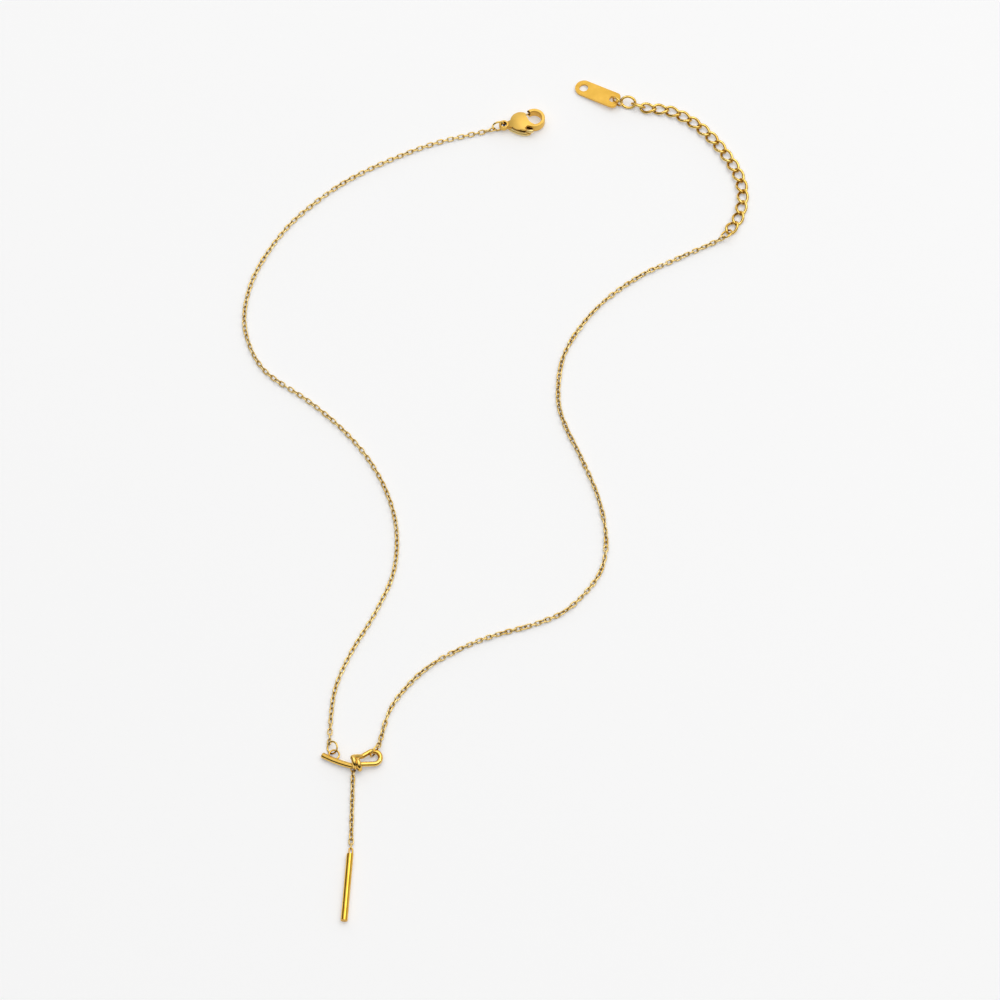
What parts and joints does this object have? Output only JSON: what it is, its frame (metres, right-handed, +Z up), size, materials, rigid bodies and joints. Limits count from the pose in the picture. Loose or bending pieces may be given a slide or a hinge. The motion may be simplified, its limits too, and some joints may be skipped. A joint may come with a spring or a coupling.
{
  "type": "tassel necklace",
  "caption": "Fine chain necklace with a knotted wire pendant, a chain drop ending in a bar, a lobster clasp and an extender chain with an end tag, lying flat.",
  "frame": {"origin": "centre of the footprint, on the surface that the necklace lies on", "axes": "+X to the right as laid out, from the left strand to the extender; +Y from the drop bar towards the clasp; +Z up off the surface"},
  "size_m": [0.1062, 0.1937, 0.0033],
  "materials": {
    "gold": "polished gold colour"
  },
  "bodies": {
    "necklace": {"clasp_body": "gold", "clasp_pin": "gold", "clasp_ring": "gold", "left_chain": "gold", "left_ring": "gold", "knot_pendant": "gold", "right_ring": "gold", "right_chain": "gold", "extender_ring": "gold", "extender_link_1": "gold", "extender_link_2": "gold", "extender_link_3": "gold", "extender_link_4": "gold", "extender_link_5": "gold", "extender_link_6": "gold", "extender_link_7": "gold", "extender_link_8": "gold", "extender_link_9": "gold", "extender_link_10": "gold", "extender_link_11": "gold", "extender_link_12": "gold", "extender_link_13": "gold", "extender_link_14": "gold", "extender_link_15": "gold", "extender_link_16": "gold", "extender_link_17": "gold", "extender_link_18": "gold", "tag_ring": "gold", "end_tag": "gold", "drop_bar": "gold", "drop_link_1": "gold", "drop_link_2": "gold", "drop_link_3": "gold", "drop_link_4": "gold", "drop_link_5": "gold", "drop_link_6": "gold", "drop_link_7": "gold", "drop_link_8": "gold", "drop_link_9": "gold", "drop_link_10": "gold", "drop_link_11": "gold", "drop_link_12": "gold", "drop_link_13": "gold", "drop_link_14": "gold", "drop_link_15": "gold", "drop_link_16": "gold"},
    "lever": {"clasp_lever": "gold"}
  },
  "joints": [
    {"name": "lever_hinge", "type": "hinge", "parent": "necklace", "child": "lever", "pos_m": [0.00514, 0.08582, 0.0013], "axis": [0, 0, -1], "range_deg": [0, 25], "stiffness_Nm_per_rad": 0.0005, "springref_deg": -11.46}
  ]
}
